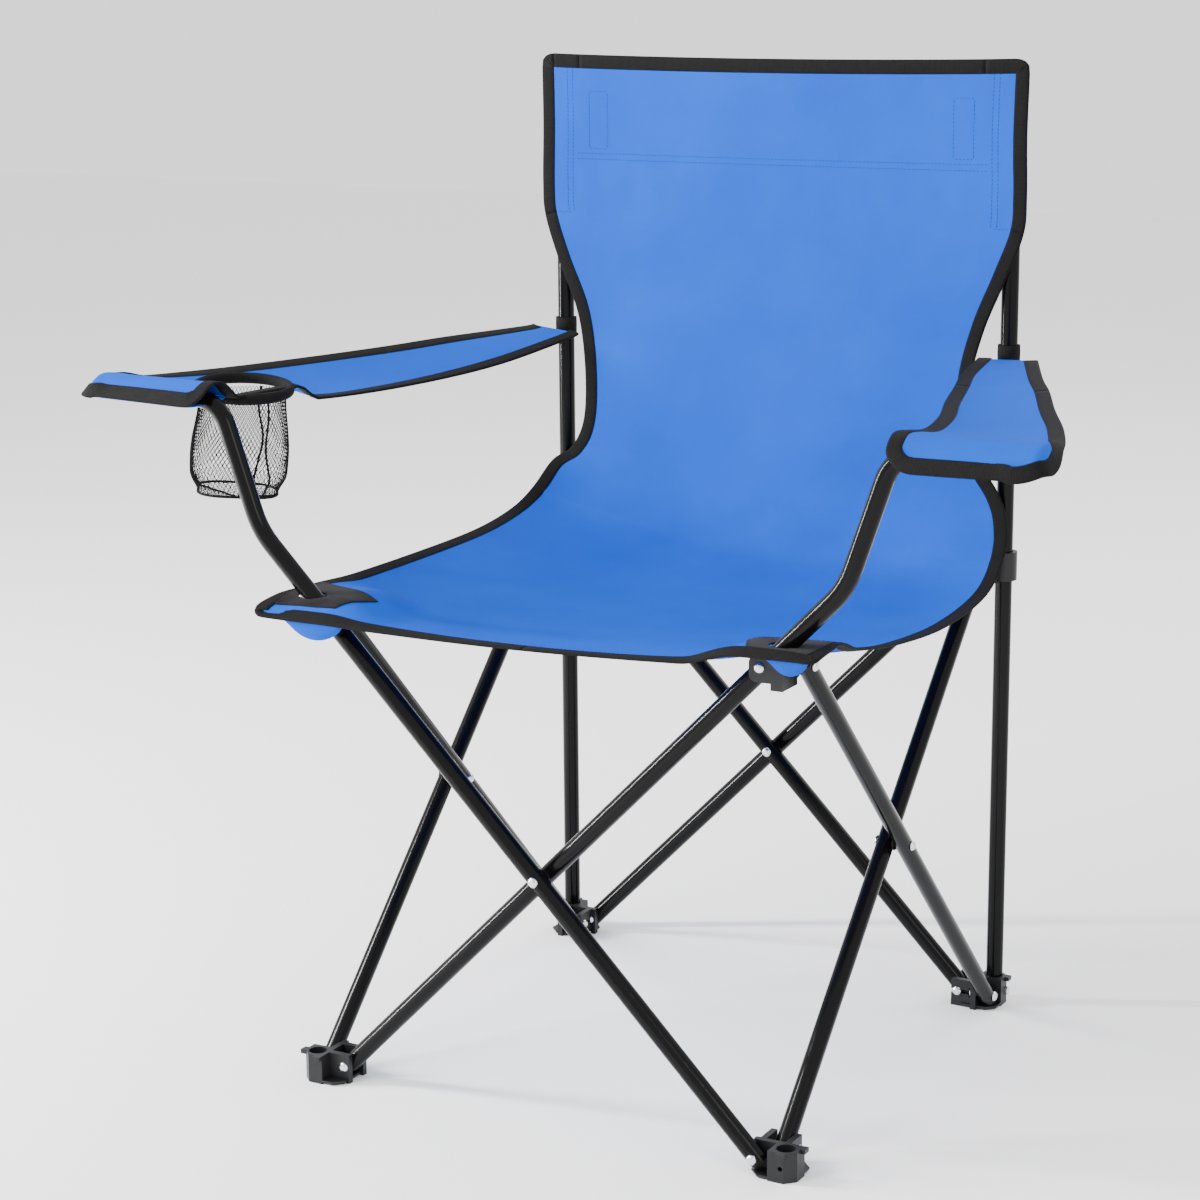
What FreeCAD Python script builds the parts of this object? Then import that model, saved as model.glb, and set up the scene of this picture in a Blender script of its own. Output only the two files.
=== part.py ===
"""Folding camp chair: four X-braced sides between moulded feet and hubs, two uprights,
a one-piece sling seat and back, two fabric armrests and a net cup holder.

Millimetres, +Z up, the chair faces -Y. The origin lies on the ground under the middle of
the whole chair. The four X frames stand on a square, and everything at its corners repeats
every quarter turn: each corner has one outer tube, riveted outside its moulding, and one
inner tube, held between two walls.
"""
import FreeCAD, Part
import math
import os
import Sketcher
from FreeCAD import Placement, Rotation, Vector

# ---------------------------------------------------------------- driving dimensions
SIZES = {
    # frame
    "corner_half": 204.5,      # from the middle of the square to the plane of each X frame
    "square_y": 8.0,           # middle of the square, along Y
    "tube_d": 14.4,            # every steel tube
    "tube_wall": 1.0,
    "tube_shift": 7.7,         # a tube's axis from the plane of its X frame
    "rivet_inset": 18.5,       # end rivets from the corner, along the X frame
    "rivet_high": 13.5,        # lower rivets above the ground
    "tube_end": 6.0,           # tube beyond its end rivets
    "tube_pitch": 529.3,       # between a crossing tube's end rivets
    # arm tubes, from the middle of the chair and from the ground
    "knee_x": 248.0,
    "knee_high": 452.2,
    "elbow_x": 283.0,
    "elbow_high": 552.0,
    "arm_tip_x": 397.0,
    "arm_tip_high": 557.0,
    "knee_bend": 70.0,
    "elbow_bend": 30.0,
    # uprights
    "upright_out": 5.5,        # upright's axis outside the corner, along X and along Y
    "upright_top": 792.0,
    # mouldings
    "wall": 5.0,
    "foot_high": 24.0,
    "foot_floor": 3.5,
    "foot_side": 38.0,
    "foot_corner": 8.0,
    "foot_shift": 3.0,         # middle of the foot plate, in from the corner
    "wall_reach": 24.0,
    "socket_side": 21.0,
    "socket_play": 0.15,
    "recess": 8.0,
    "hub_reach": 27.0,
    "hub_up": 9.0,             # hub above its rivets
    "hub_down": 11.0,
    "collar_d": 22.0,
    "collar_play": 0.3,
    "hub_bridge": 9.5,
    "bridge_half": 5.0,
    "collar_drop": 4.0,
    "foot_bevel": 2.0,
    "hook": 3.5,
    "hook_wide": 7.0,
    "hook_in": 10.0,           # outer end of the front hook, in the corner's own frame
    "ear_round": 6.0,
    # rivets, washers and plugs
    "rivet_d": 5.0,
    "rivet_head_d": 8.4,
    "rivet_dome": 2.2,
    "rivet_crown": 0.8,        # flat at the top of every dome, across its radius
    "rivet_lift": 0.15,        # rivet head off the faces it holds
    "head_pocket": 2.7,
    "rivet_play": 0.05,
    "washer_d": 12.0,
    "washer_thick": 0.6,
    "screw_d": 3.6,
    "screw_long": 4.6,
    "screw_head": 2.0,
    "screw_sunk": 2.4,
    "cap_dome": 3.5,
    "cap_rim": 1.0,
    "cap_stem": 12.0,
    "plug_play": 0.1,
    # cloth
    "cloth": 3.0,
    "seat_high": 402.0,        # underside of the seat along its sides
    "seat_sag": 22.0,
    "seat_half": 224.0,
    "seat_split": 0.5,         # each leaf's inner edge from the middle of the chair
    "seat_hollow": 55.0,       # where the sag starts to rise
    "seat_level": 170.0,       # where the sag ends
    "seat_front": -232.0,
    "seat_rear": 203.0,
    "back_y": 209.0,
    "back_top": 800.0,
    "back_rise": 6.0,          # lower edge above the seat
    "sleeve_low": 673.0,
    "sleeve_wide": 30.0,
    "sleeve_deep": 18.0,
    "arm_high": 561.0,
    "arm_split": 60.0,         # between an armrest's front and rear halves
    "arm_gap": 1.0,
    "arm_sleeve_d": 21.0,
    "arm_sleeve_long": 88.0,
    "patch_thick": 1.0,
    "patch_lift": 0.2,
    "hole_long": 34.0,
    "hole_wide": 20.0,
    "hole_out": 4.0,           # middle of the hole, outside the tube's axis
    "arm_loop_d": 21.0,
    "arm_loop_low": 556.0,
    "arm_loop_tall": 17.0,
    # cup holder
    "cup_x": -311.0,
    "cup_y": -145.0,
    "cup_ring_d": 80.0,
    "cup_ring_hole_d": 68.0,
    "cup_ring_tall": 8.0,
    "cup_deep": 96.0,
    "cup_top_d": 76.0,
    "cup_foot_d": 70.0,
    "cup_net": 1.6,
    "cup_bevel": 1.0,
    "cup_round": 4.0,
    "cup_lift": 1.0,           # ring above the armrest's upper face
}

doc = FreeCAD.newDocument("folding_camp_chair")
sheet = doc.addObject("Spreadsheet::Sheet", "Sizes")
for row, (alias, number) in enumerate(SIZES.items(), start=1):
    sheet.set(f"A{row}", alias)
    sheet.set(f"B{row}", str(number))
    sheet.setAlias(f"B{row}", alias)
doc.recompute()

parts = []


def size(alias):
    """The number in the sheet's cell of this name."""
    return float(sheet.get(alias))


def bind(feature, **formulas):
    """Ties properties to the sheet; a double underscore in a name stands for a dot."""
    for prop, formula in formulas.items():
        words = []
        for word in str(formula).replace("(", " ( ").replace(")", " ) ").split():
            words.append("Sizes." + word if word in SIZES else word)
        feature.setExpression(prop.replace("__", "."), " ".join(words))


def keep(shape_object, label, placement=None):
    """Registers a finished sub-part under the name of its file."""
    shape_object.Label = label
    if placement is not None:
        shape_object.Placement = placement
    parts.append(shape_object)
    return shape_object


# ---------------------------------------------------------------- modelling helpers
def new_body(name):
    return doc.addObject("PartDesign::Body", name)


def new_sketch(body, name, role):
    """An empty sketch on one of the body's own origin planes."""
    sketch = body.newObject("Sketcher::SketchObject", name)
    plane = next(f for f in body.Origin.OriginFeatures if f.Role == role)
    sketch.AttachmentSupport = [(plane, "")]
    sketch.MapMode = "FlatFace"
    return sketch


def circle(sketch, formula):
    """A circle about the sketch's origin whose diameter follows the sheet."""
    index = sketch.addGeometry(Part.Circle(Vector(), Vector(0, 0, 1), 1))
    sketch.addConstraint(Sketcher.Constraint("Coincident", index, 3, -1, 1))
    number = sketch.addConstraint(Sketcher.Constraint("Diameter", index, 2))
    bind(sketch, **{f"Constraints[{number}]": formula})


def outline(sketch, points):
    """Straight edges through the points, closed."""
    corners = [Vector(x, y, 0) for x, y in points]
    for start, end in zip(corners, corners[1:] + corners[:1]):
        sketch.addGeometry(Part.LineSegment(start, end))


def path(sketch, points):
    """Straight edges through the points, open."""
    for start, end in zip(points, points[1:]):
        sketch.addGeometry(Part.LineSegment(Vector(*start, 0), Vector(*end, 0)))


def dome(sketch, rim, crown):
    """A quarter bulge from a rim to a crown near the sketch's vertical axis."""
    share = math.sqrt(0.5)
    middle = Vector(crown[0] + (rim[0] - crown[0]) * share, rim[1] + (crown[1] - rim[1]) * share, 0)
    sketch.addGeometry(Part.Arc(Vector(*rim, 0), middle, Vector(*crown, 0)))


def pad(body, sketch, name, formula):
    feature = body.newObject("PartDesign::Pad", name)
    feature.Profile = sketch
    bind(feature, Length=formula)
    return feature


def block(body, name, x, y, z):
    """Adds a box between pairs of formulas, low and high, along each axis."""
    feature = body.newObject("PartDesign::AdditiveBox", name)
    for side, axis, (low, high) in zip(("Length", "Width", "Height"), "xyz", (x, y, z)):
        bind(feature, **{side: f"( {high} ) - ( {low} )", f"Placement__Base__{axis}": low})
    return feature


ALONG_X = Rotation(Vector(0, 1, 0), 90)
ALONG_Y = Rotation(Vector(1, 0, 0), -90)
TURNS = {"x": ALONG_X, "y": ALONG_Y, "z": Rotation()}


def cylinder(body, name, radius, length, along, at, kind="Subtractive"):
    """Adds or cuts a cylinder that starts at a point of formulas and runs along one axis."""
    feature = body.newObject(f"PartDesign::{kind}Cylinder", name)
    feature.Placement = Placement(Vector(), TURNS[along])
    bind(feature, Radius=radius, Height=length)
    for axis, formula in zip("xyz", at):
        bind(feature, **{f"Placement__Base__{axis}": formula})
    return feature


def turned(body, sketch):
    """A sketch's half-section turned about its vertical axis."""
    feature = body.newObject("PartDesign::Revolution", f"{body.Name}_turned")
    feature.Profile = sketch
    feature.ReferenceAxis = (sketch, ["V_Axis"])


def soften(body, feature, name, radius, wanted, kind="Fillet"):
    """Rounds or bevels the straight edges of a feature that pass the test."""
    doc.recompute()
    chosen = []
    for number, edge in enumerate(feature.Shape.Edges, start=1):
        if edge.Curve.TypeId == "Part::GeomLine" and wanted(*[v.Point for v in edge.Vertexes]):
            chosen.append(f"Edge{number}")
    rounded = body.newObject(f"PartDesign::{kind}", name)
    rounded.Base = (feature, chosen)
    bind(rounded, **{"Radius" if kind == "Fillet" else "Size": radius})
    return rounded


# ---------------------------------------------------------------- the square's corners
# Quarter turns from the front right corner, anticlockwise from above.
CORNERS = ("front_right", "rear_right", "rear_left", "front_left")


def corner_placement(turns, height=0.0):
    """From a corner's own frame, whose X and -Y point out of the chair, to the chair's."""
    turn = Rotation(Vector(0, 0, 1), 90 * turns)
    reach = size("corner_half")
    at = turn.multVec(Vector(reach, -reach, 0)) + Vector(0, size("square_y"), height)
    return Placement(at, turn)


shift, inset = size("tube_shift"), size("rivet_inset")
open_angle = math.asin(2 * (size("corner_half") - inset) / size("tube_pitch"))
hub_rivet_high = size("rivet_high") + size("tube_pitch") * math.cos(open_angle)

# Rivets in a corner's own frame: the outer tube's and the inner tube's.
FOOT_OUTER, FOOT_INNER = (-inset, -shift), (-shift, inset)
HUB_OUTER, HUB_INNER = (shift, inset), (-inset, shift)


def tube_placement(foot, foot_xy, hub, hub_xy):
    """Local Z runs up the tube from its lower end, local Y along its rivets."""
    low = corner_placement(foot).multVec(Vector(*foot_xy, size("rivet_high")))
    high = corner_placement(hub).multVec(Vector(*hub_xy, hub_rivet_high))
    along = (high - low).normalize()
    rivet_axis = Vector(0, 1, 0) if abs(along.y) < 1e-6 else Vector(1, 0, 0)
    turn = Rotation(rivet_axis.cross(along), rivet_axis, along, "ZYX")
    return Placement(low - along * size("tube_end"), turn)


def outer_tube(foot):
    """An outer tube leans clockwise, from its foot to the hub of the corner before."""
    return tube_placement(foot, FOOT_OUTER, (foot - 1) % 4, HUB_OUTER)


def inner_tube(foot):
    """An inner tube leans anticlockwise, to the hub of the next corner."""
    return tube_placement(foot, FOOT_INNER, (foot + 1) % 4, HUB_INNER)


# ---------------------------------------------------------------- steel tubes
def drill_rivet_holes(body):
    """Holes at both ends and half-way, across the tube."""
    for name, share in (("low_hole", 0), ("cross_hole", 0.5), ("high_hole", 1)):
        cylinder(body, f"{body.Name}_{name}", "rivet_d / 2 + rivet_play", "2 * tube_d", "y",
                 ("0", "0 - tube_d", f"tube_end + {share} * tube_pitch"))


def straight_tube(label, placement):
    body = new_body(label)
    section = new_sketch(body, f"{label}_section", "XY_Plane")
    circle(section, "tube_d")
    circle(section, "tube_d - 2 * tube_wall")
    pad(body, section, f"{label}_length", "tube_pitch + 2 * tube_end")
    drill_rivet_holes(body)
    keep(body, label, placement)


def rounded_corner(before, corner, after, radius):
    """Start, middle and end of the arc that rounds a corner of a tube's path."""
    back, forth = (before - corner).normalize(), (after - corner).normalize()
    half_angle = back.getAngle(forth) / 2
    leg = radius / math.tan(half_angle)
    depth = radius / math.sin(half_angle) - radius
    return corner + back * leg, corner + (back + forth).normalize() * depth, corner + forth * leg


def arm_path(side):
    """Corners of an arm tube's path in its own frame; side is 1 on the right, -1 on the left."""
    lower_rivet = Vector(-size("corner_half") + inset, size("rivet_high"), 0)
    points = [Vector()]
    for place in ("knee", "elbow", "arm_tip"):
        rise = Vector(size(f"{place}_x"), size(f"{place}_high"), 0) - lower_rivet
        across = rise.x * math.cos(open_angle) - rise.y * math.sin(open_angle)
        along = rise.x * math.sin(open_angle) + rise.y * math.cos(open_angle) + size("tube_end")
        points.append(Vector(side * across, along, 0))
    return points


def arm_tube(label, side, placement):
    """Foot to hub in one straight line, then an S-bend to a level end under the armrest."""
    body = new_body(label)
    start, knee, elbow, tip = arm_path(side)
    knee_arc = rounded_corner(start, knee, elbow, size("knee_bend"))
    elbow_arc = rounded_corner(knee, elbow, tip, size("elbow_bend"))
    spine = new_sketch(body, f"{label}_spine", "XZ_Plane")
    spine.addGeometry(Part.LineSegment(start, knee_arc[0]))
    spine.addGeometry(Part.Arc(*knee_arc))
    spine.addGeometry(Part.LineSegment(knee_arc[2], elbow_arc[0]))
    spine.addGeometry(Part.Arc(*elbow_arc))
    spine.addGeometry(Part.LineSegment(elbow_arc[2], tip))
    for kind, diameter in (("Additive", "tube_d"), ("Subtractive", "tube_d - 2 * tube_wall")):
        section = new_sketch(body, f"{label}_{kind}_section", "XY_Plane")
        circle(section, diameter)
        pipe = body.newObject(f"PartDesign::{kind}Pipe", f"{label}_{kind}_pipe")
        pipe.Profile = section
        pipe.Spine = spine
    drill_rivet_holes(body)
    keep(body, label, placement)


def upright_placement(side, height):
    """On an upright's axis, at a height; side is 1 on the right, -1 on the left."""
    reach = size("corner_half") + size("upright_out")
    return Placement(Vector(side * reach, reach + size("square_y"), height), Rotation())


def upright(label, side):
    body = new_body(label)
    section = new_sketch(body, f"{label}_section", "XY_Plane")
    circle(section, "tube_d")
    circle(section, "tube_d - 2 * tube_wall")
    pad(body, section, f"{label}_length", "upright_top - foot_floor")
    keep(body, label, upright_placement(side, size("foot_floor")))


def cap(label, placement):
    """A domed plug whose stem fills the end of a tube; local Z points out of the tube."""
    body = new_body(label)
    section = new_sketch(body, f"{label}_section", "XZ_Plane")
    rim, crown = size("tube_d") / 2, size("rivet_crown")
    bore = rim - size("tube_wall") - size("plug_play")
    low, lift, edge, top = -size("cap_stem"), size("plug_play"), size("cap_rim"), size("cap_dome")
    path(section, [(crown, top), (0, top), (0, low), (bore, low), (bore, lift), (rim, lift), (rim, edge)])
    dome(section, (rim, edge), (crown, top))
    turned(body, section)
    keep(body, label, placement)


arm_tube("front_tube_left_arm", -1, outer_tube(0))
arm_tube("front_tube_right_arm", 1, inner_tube(3))
straight_tube("side_tube_right_outer", outer_tube(1))
straight_tube("side_tube_right_inner", inner_tube(0))
straight_tube("side_tube_left_outer", outer_tube(3))
straight_tube("side_tube_left_inner", inner_tube(2))
straight_tube("rear_tube_outer", outer_tube(2))
straight_tube("rear_tube_inner", inner_tube(1))
for side_name, side in (("left", -1), ("right", 1)):
    upright(f"upright_{side_name}", side)
    cap(f"upright_cap_{side_name}", upright_placement(side, size("upright_top")))

arm_plane_y = {-1: -size("corner_half") - shift + size("square_y"),
               1: -size("corner_half") + shift + size("square_y")}


def arm_end_placement(side, distance=0.0):
    """On the level end of an arm tube, a distance in from its tip; local Z points outwards."""
    elbow = Vector(side * size("elbow_x"), arm_plane_y[side], size("elbow_high"))
    tip = Vector(side * size("arm_tip_x"), arm_plane_y[side], size("arm_tip_high"))
    outward = (tip - elbow).normalize()
    turn = Rotation(Vector(0, 1, 0).cross(outward), Vector(0, 1, 0), outward, "ZYX")
    return Placement(tip - outward * distance, turn)


cap("arm_tube_cap_left", arm_end_placement(-1))
cap("arm_tube_cap_right", arm_end_placement(1))


# ---------------------------------------------------------------- moulded feet and hubs
def rivet_holes(body, outer_xy, inner_xy):
    """Bores for the outer tube's rivet, along Y or X, and for the inner tube's.

    The outer rivet's inner head sits in a pocket behind its lug.
    """
    radius = "rivet_d / 2 + rivet_play"
    outer_axis, inner_axis = ("y", "x") if outer_xy[0] < 0 else ("x", "y")
    for name, (x, y), axis in (("outer_bore", outer_xy, outer_axis),
                               ("inner_bore", inner_xy, inner_axis)):
        start = {"x": ("0 - 2 * wall_reach", f"{y}"), "y": (f"{x}", "0 - 2 * wall_reach")}[axis]
        cylinder(body, f"{body.Name}_{name}", radius, "4 * wall_reach", axis, (*start, "0"))
    x, y = outer_xy
    pocket = {"y": (f"{x}", "wall", "0"), "x": ("0 - wall - head_pocket", f"{y}", "0")}[outer_axis]
    cylinder(body, f"{body.Name}_head_pocket", "rivet_head_d / 2 + collar_play", "head_pocket",
             outer_axis, pocket)


def foot(corner, turns):
    """Eight-sided plate, lug behind the outer tube, walls beside the inner one, and a post.

    Local Z starts at the rivets' height. The rear posts are deep sockets for the uprights, and
    the front ones only have a shallow recess.
    """
    label = f"foot_{corner}"
    body = new_body(label)
    ground = "0 - rivet_high"
    top = "foot_high - rivet_high"
    plate = new_sketch(body, f"{label}_plate", "XY_Plane")
    plate.AttachmentOffset = Placement(Vector(0, 0, -size("rivet_high")), Rotation())
    half, cut, middle = size("foot_side") / 2, size("foot_corner"), size("foot_shift")
    corner_points = [(half - cut, -half), (half, cut - half), (half, half - cut), (half - cut, half)]
    ring = corner_points + [(-x, -y) for x, y in corner_points]
    outline(plate, [(x - middle, y + middle) for x, y in ring])
    floor = pad(body, plate, f"{label}_floor", "foot_floor")
    soften(body, floor, f"{label}_rim", "foot_bevel",
           lambda a, b: max(a.z, b.z) < 0.1 - size("rivet_high"), "Chamfer")
    block(body, f"{label}_lug", ("0 - wall_reach", "0"), ("0", "wall"), (ground, top))
    block(body, f"{label}_outer_wall", ("0", "wall"), ("0", "wall_reach"), (ground, top))
    far = "0 - 2 * tube_shift - wall"
    block(body, f"{label}_inner_wall", (far, "0 - 2 * tube_shift"), ("0", "wall_reach"),
          (ground, top))
    near = size("upright_out") - size("socket_side") / 2
    edge = size("upright_out") + size("socket_side") / 2
    post = new_sketch(body, f"{label}_post_outline", "XY_Plane")
    post.AttachmentOffset = plate.AttachmentOffset
    outline(post, [(near, -near), (near, -edge), (edge - cut, -edge), (edge, cut - edge), (edge, -near)])
    pad(body, post, f"{label}_post", "foot_high")
    block(body, f"{label}_side_hook", ("0", f"{edge} + hook"), ("wall - hook_wide", "wall"),
          (f"{top} - hook", top))
    block(body, f"{label}_front_hook", ("hook_in - hook_wide", "hook_in"), (f"0 - {edge} - hook", "0"),
          (f"{top} - hook", top))
    socket_floor = "foot_floor" if "rear" in corner else "foot_high - recess"
    cylinder(body, f"{label}_socket", "tube_d / 2 + socket_play", "foot_high", "z",
             ("upright_out", "0 - upright_out", f"{socket_floor} - rivet_high"))
    rivet_holes(body, FOOT_OUTER, FOOT_INNER)
    cylinder(body, f"{label}_screw_hole", "screw_d / 2 + rivet_play", "wall", "y",
             ("upright_out", "0 - upright_out - socket_side / 2 - rivet_lift", "0 - screw_head"))
    keep(body, label, corner_placement(turns, size("rivet_high")))


def hub(label, turns, slides):
    """Two walls for the inner tube, a lug for the outer one, a bridge, and a collar if it slides."""
    body = new_body(label)
    tall = ("0 - hub_down", "hub_up")
    far = "2 * tube_shift"
    block(body, f"{label}_near_wall", ("0 - hub_reach", "0"), ("0 - wall", "0"), tall)
    block(body, f"{label}_far_wall", ("0 - hub_reach", "0"), (far, f"{far} + wall"), tall)
    block(body, f"{label}_lug", ("0 - wall", "0"), (far, "hub_reach"), tall)
    last = block(body, f"{label}_bridge", ("0 - hub_bridge", "0"), ("0 - wall", f"{far} + wall"),
                 ("0 - hub_down - bridge_half", "0 - hub_down + bridge_half"))
    reach = size("hub_reach")

    def ear_edge(a, b):
        """The short edges across the walls' free ends, top and bottom."""
        at_end = max(a.x, b.x) < 0.1 - reach or min(a.y, b.y) > reach - 0.1
        return at_end and abs(a.z - b.z) < 0.1

    soften(body, last, f"{label}_ears", "ear_round", ear_edge)
    if slides:
        cylinder(body, f"{label}_collar", "collar_d / 2", "hub_up + hub_down + collar_drop", "z",
                 ("upright_out", "0 - upright_out", "0 - hub_down - collar_drop"), "Additive")
        cylinder(body, f"{label}_bore", "tube_d / 2 + collar_play", "4 * hub_down", "z",
                 ("upright_out", "0 - upright_out", "0 - 2 * hub_down"))
    rivet_holes(body, HUB_OUTER, HUB_INNER)
    keep(body, label, corner_placement(turns, hub_rivet_high))


for turns, corner in enumerate(CORNERS):
    foot(corner, turns)
hub("hub_front_right", 0, slides=False)
hub("slider_right", 1, slides=True)
hub("slider_left", 2, slides=True)
hub("hub_front_left", 3, slides=False)


# ---------------------------------------------------------------- rivets and washers
def rivet(name, grip, placement):
    """A domed rivet with its shank from 0 to the grip along local Z."""
    body = new_body(name)
    section = new_sketch(body, f"{name}_section", "XZ_Plane")
    shank, rim, crown = size("rivet_d") / 2, size("rivet_head_d") / 2, size("rivet_crown")
    low, high = -size("rivet_lift"), grip + size("rivet_lift")
    bottom, top = low - size("rivet_dome"), high + size("rivet_dome")
    path(section, [(crown, top), (0, top), (0, bottom), (crown, bottom)])
    dome(section, (rim, low), (crown, bottom))
    path(section, [(rim, low), (shank, low), (shank, high), (rim, high)])
    dome(section, (rim, high), (crown, top))
    turned(body, section)
    body.Placement = placement
    return body


def group(label, members):
    """Several separate solids under one name."""
    compound = doc.addObject("Part::Compound", label)
    compound.Links = members
    keep(compound, label)


tube_r, wall = size("tube_d") / 2, size("wall")


def corner_rivet(name, turns, height, rotation, start, end):
    """A rivet between two points of a corner's frame that differ along one axis."""
    placement = corner_placement(turns, height).multiply(Placement(Vector(*start), rotation))
    return rivet(name, (Vector(*end) - Vector(*start)).Length, placement)


for turns, corner in enumerate(CORNERS):
    label = f"foot_rivets_{corner}"
    outer = corner_rivet(f"{label}_a", turns, size("rivet_high"), ALONG_Y,
                         (-inset, -shift - tube_r, 0), (-inset, wall, 0))
    inner = corner_rivet(f"{label}_b", turns, size("rivet_high"), ALONG_X,
                         (-2 * shift - wall, inset, 0), (wall, inset, 0))
    group(label, [outer, inner])

for turns, holder in enumerate(("hub_front_right", "slider_right", "slider_left", "hub_front_left")):
    label = holder.replace("hub", "hub_rivets").replace("slider", "slider_rivets")
    outer = corner_rivet(f"{label}_a", turns, hub_rivet_high, ALONG_X,
                         (-wall, inset, 0), (shift + tube_r, inset, 0))
    inner = corner_rivet(f"{label}_b", turns, hub_rivet_high, ALONG_Y,
                         (-inset, -wall, 0), (-inset, 2 * shift + wall, 0))
    group(label, [outer, inner])

cross_high = (size("rivet_high") + hub_rivet_high) / 2
for turns, face in enumerate(("front", "right", "rear", "left")):
    turn = Rotation(Vector(0, 0, 1), 90 * turns)
    middle = turn.multVec(Vector(0, -size("corner_half"), 0))
    middle += Vector(0, size("square_y"), cross_high)
    outward = Placement(middle, turn.multiply(ALONG_Y))
    grip = 2 * (shift + tube_r)
    start = outward.multiply(Placement(Vector(0, 0, -grip / 2), Rotation()))
    keep(rivet(f"cross_rivet_{face}", grip, start), f"cross_rivet_{face}")
    washer = new_body(f"cross_washer_{face}")
    ring = new_sketch(washer, f"cross_washer_{face}_ring", "XY_Plane")
    circle(ring, "washer_d")
    circle(ring, "rivet_d + 2 * rivet_play")
    pad(washer, ring, f"cross_washer_{face}_thickness", "washer_thick")
    half_thick = Placement(Vector(0, 0, -size("washer_thick") / 2), Rotation())
    keep(washer, f"cross_washer_{face}", outward.multiply(half_thick))

# A screw through the front of each rear foot's post holds its upright.
for turns, name in ((1, "upright_screw_right"), (2, "upright_screw_left")):
    screw = new_body(name)
    at = ("0", "0", "0 - screw_sunk")
    cylinder(screw, f"{name}_shank", "screw_d / 2", "screw_long", "z", at, "Additive")
    cylinder(screw, f"{name}_head", "screw_d", "screw_head", "z", at, "Additive")
    face = size("upright_out") + size("socket_side") / 2
    seat = Placement(Vector(size("upright_out"), -face, -size("screw_head")), ALONG_Y)
    keep(screw, name, corner_placement(turns, size("rivet_high")).multiply(seat))


# ---------------------------------------------------------------- cloth
def cloth_slab(label, role, points, formula, lift):
    """A flat piece of cloth: an outline on an origin plane, padded to its thickness or length."""
    body = new_body(label)
    face = new_sketch(body, f"{label}_outline", role)
    outline(face, points)
    pad(body, face, f"{label}_cloth", formula)
    keep(body, label, Placement(Vector(*lift), Rotation()))
    return body


def tube_hole(body, side, x, y, z):
    """Cuts the opening the arm tube passes through, in a frame whose origin is given."""
    along_x = size("corner_half") - inset + size("seat_high") - hub_rivet_high + size("hole_out")
    opening = body.newObject("PartDesign::SubtractiveBox", f"{body.Name}_tube_hole")
    bind(opening, Length="hole_long", Width="hole_wide", Height="4 * cloth")
    corner = Vector(side * along_x - size("hole_long") / 2 - x,
                    arm_plane_y[side] - size("hole_wide") / 2 - y,
                    size("seat_high") - size("cloth") - z)
    opening.Placement = Placement(corner, Rotation())


def seat_leaf(label, side):
    """Half of the seat: level beside the frame, sagging to the middle, open round the arm tube."""
    high, low = size("seat_high"), size("seat_high") - size("seat_sag")
    under = [(size("seat_split"), low), (size("seat_hollow"), low), (size("seat_level"), high),
             (size("seat_half"), high)]
    over = [(x, z + size("cloth")) for x, z in reversed(under)]
    body = cloth_slab(label, "XZ_Plane", [(side * x, z) for x, z in under + over],
                      "seat_rear - seat_front", (0, size("seat_rear"), 0))
    tube_hole(body, side, 0, size("seat_rear"), 0)


# A seat patch's outline: from the middle of the chair, and from the arm tube's plane.
PATCH = ((172, -19), (222, -19), (222, 30), (172, 22))


def seat_patch(label, side):
    """Reinforcing patch sewn on the seat's front corner, with the same hole."""
    body = new_body(label)
    face = new_sketch(body, f"{label}_outline", "XY_Plane")
    y = arm_plane_y[side]
    outline(face, [(side * x, y + dy) for x, dy in PATCH])
    pad(body, face, f"{label}_cloth", "patch_thick")
    top = size("seat_high") + size("cloth") + size("patch_lift")
    tube_hole(body, side, 0, 0, top)
    keep(body, label, Placement(Vector(0, 0, top), Rotation()))


# Right half of the back's outline from the sleeve's lower end down: half-width and height.
BACK_WAIST = ((190, 653), (176, 590), (170, 540), (174, 480), (188, 438))


def back_panel():
    """Between the sleeves at the top, waisted behind the armrests, wide again at the seat."""
    top_half, low_half = BACK_WAIST[0][0], BACK_WAIST[-1][0]
    right = [(top_half, size("back_top")), *BACK_WAIST, (low_half, size("seat_high") + size("back_rise"))]
    left = [(-x, z) for x, z in reversed(right)]
    cloth_slab("back_panel", "XZ_Plane", right + left, "cloth", (0, size("back_y") + size("cloth"), 0))


def back_sleeve(label, side):
    """Closed at the top, round the upper part of an upright."""
    body = new_body(label)
    wide, deep = size("sleeve_wide"), size("sleeve_deep")
    outer = new_sketch(body, f"{label}_outer", "XY_Plane")
    outline(outer, [(-wide / 2, -deep / 2), (wide / 2, -deep / 2), (wide / 2, deep / 2),
                    (-wide / 2, deep / 2)])
    pad(body, outer, f"{label}_cloth", "back_top - sleeve_low")
    cylinder(body, f"{label}_inside", "tube_d / 2 + collar_play", "back_top - sleeve_low - cloth", "z",
             ("0", "0", "0"))
    keep(body, label, upright_placement(side, size("sleeve_low")))


# An armrest's inner and outer edges, from the middle of the chair: at its rear end and over the tube.
ARM_INNER, ARM_OUTER = (192, 287), (238, 404)


def arm_edge(rear_and_front, y):
    """How far an armrest's edge is from the middle of the chair at a place along Y."""
    rear_x, front_x = rear_and_front
    share = (size("seat_rear") - y) / (size("seat_rear") - arm_plane_y[-1])
    return rear_x + (front_x - rear_x) * share


def arm_panel(label, side, front, back):
    points = [(side * arm_edge(edge, y), y) for edge, y in
              ((ARM_INNER, front), (ARM_OUTER, front), (ARM_OUTER, back), (ARM_INNER, back))]
    return cloth_slab(label, "XY_Plane", points, "cloth", (0, 0, size("arm_high")))


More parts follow.
